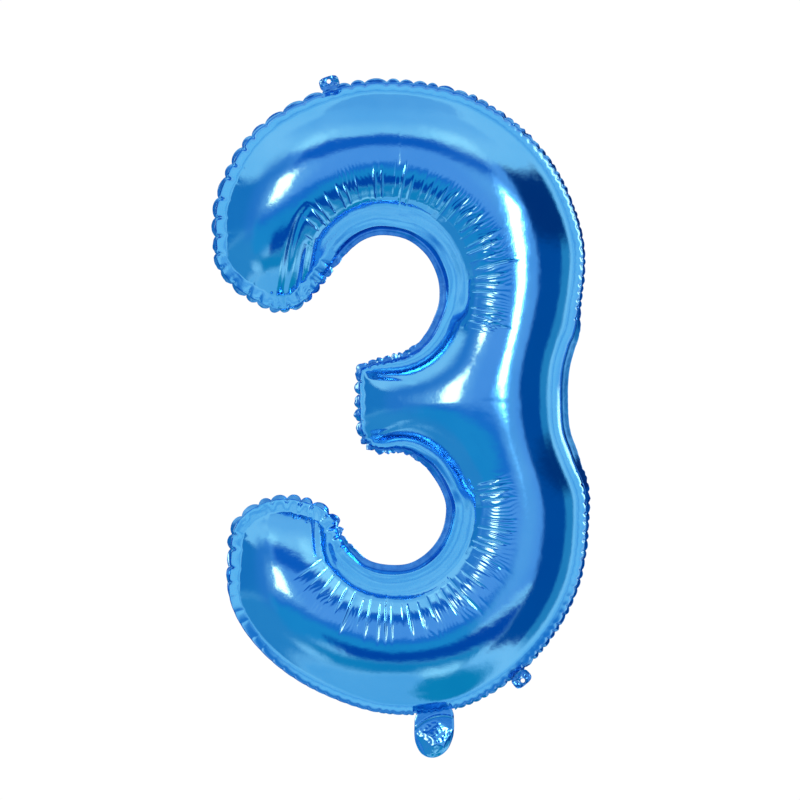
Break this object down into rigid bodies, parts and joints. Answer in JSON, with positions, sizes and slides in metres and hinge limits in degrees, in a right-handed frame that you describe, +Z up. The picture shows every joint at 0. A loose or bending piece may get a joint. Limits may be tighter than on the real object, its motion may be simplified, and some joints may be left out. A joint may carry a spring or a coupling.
{
  "type": "foil number balloon",
  "caption": "Inflated foil balloon shaped as the digit three, with a welded gathered seam, a folding filling tail around a film sleeve valve, and punched hang tabs.",
  "frame": {"origin": "centre of the punched hole in the upper hang tab, in the seam plane", "axes": "+Z up along the digit, +X to the right as the digit reads, -Y out of the digit's front"},
  "size_m": [0.5269, 0.2072, 0.9497],
  "materials": {
    "blue_foil": "mirror-gloss metallised film, blue",
    "blue_margin": "welded double metallised film, blue, finely crimped",
    "clear_film": "milky clear polyethylene film",
    "release_ink": "matt white heat-resistant ink"
  },
  "bodies": {
    "balloon": {"front_foil": "blue_foil", "back_foil": "blue_foil", "seam_margin": "blue_margin", "sleeve_valve_film_front": "clear_film", "sleeve_valve_film_back": "clear_film", "valve_release_ink": "release_ink"},
    "upper_tab": {"upper_hang_tab": "blue_margin"},
    "lower_tab": {"lower_hang_tab": "blue_margin"},
    "tail": {"tail_front_foil": "blue_foil", "tail_back_foil": "blue_foil", "tail_weld_left": "blue_margin", "tail_weld_right": "blue_margin", "tail_valve_film_front": "clear_film", "tail_valve_film_back": "clear_film"}
  },
  "joints": [
    {"name": "upper_tab_fold", "type": "hinge", "parent": "balloon", "child": "upper_tab", "pos_m": [0.00212, 0, -0.00667], "axis": [0.9529, 0, 0.3034], "range_deg": [-85, 85], "stiffness_Nm_per_rad": 0.0001},
    {"name": "lower_tab_fold", "type": "hinge", "parent": "balloon", "child": "lower_tab", "pos_m": [0.26523, 0, -0.82746], "axis": [0.7624, 0, 0.6471], "range_deg": [-85, 85], "stiffness_Nm_per_rad": 0.0001},
    {"name": "tail_fold", "type": "hinge", "parent": "balloon", "child": "tail", "pos_m": [0.14665, 0, -0.87801], "axis": [0.9905, 0, 0.1378], "range_deg": [-85, 85]}
  ]
}
